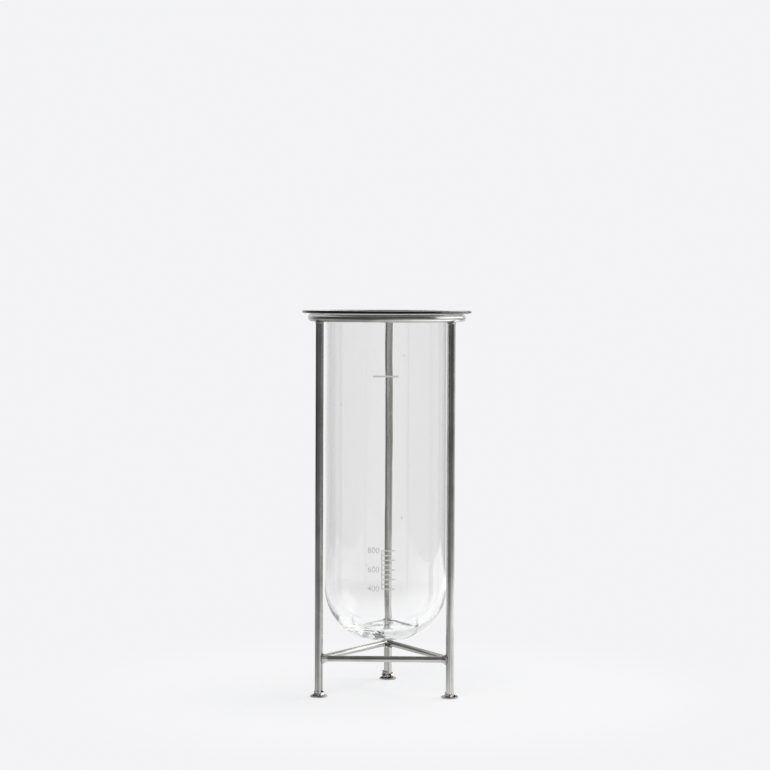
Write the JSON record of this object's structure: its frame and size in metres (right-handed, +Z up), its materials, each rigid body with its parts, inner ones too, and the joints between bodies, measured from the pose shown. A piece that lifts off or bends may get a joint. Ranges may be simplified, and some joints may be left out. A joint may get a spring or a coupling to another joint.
{
  "type": "test tube vase",
  "caption": "Clear glass test tube vase with a flat collar, hung in a three-legged stand of welded steel rod; the tube lifts out of the stand's ring.",
  "frame": {"origin": "on the floor, on the axis that the tube and the ring share, in the plane of the washers' undersides", "axes": "+Z up along the tube's axis; the front of the stand is -Y, with the front brace parallel to X and one leg at the back on +Y"},
  "size_m": [0.17, 0.17, 0.383],
  "materials": {
    "clear_glass": "clear, hand blown, fire polished",
    "bare_steel": "bare drawn rod, satin",
    "washer_steel": "punched, heat dulled by the weld",
    "weld_steel": "as welded, lumpy"
  },
  "bodies": {
    "stand": {"ring": "bare_steel", "ring_joint_weld": "weld_steel", "leg_front_left": "bare_steel", "leg_front_right": "bare_steel", "leg_rear": "bare_steel", "brace_front": "bare_steel", "brace_left": "bare_steel", "brace_right": "bare_steel", "foot_washer_front_left": "washer_steel", "foot_washer_front_right": "washer_steel", "foot_washer_rear": "washer_steel", "ring_weld_front_left": "weld_steel", "ring_weld_front_right": "weld_steel", "ring_weld_rear": "weld_steel", "brace_weld_front_left": "weld_steel", "brace_weld_front_right": "weld_steel", "brace_weld_rear": "weld_steel", "foot_weld_front_left": "weld_steel", "foot_weld_front_right": "weld_steel", "foot_weld_rear": "weld_steel"},
    "glass": {"glass_tube": "clear_glass"}
  },
  "joints": [
    {"name": "glass_lift", "type": "slide", "parent": "stand", "child": "glass", "axis": [0, 0, 1], "range_m": [0, 0.34]}
  ]
}
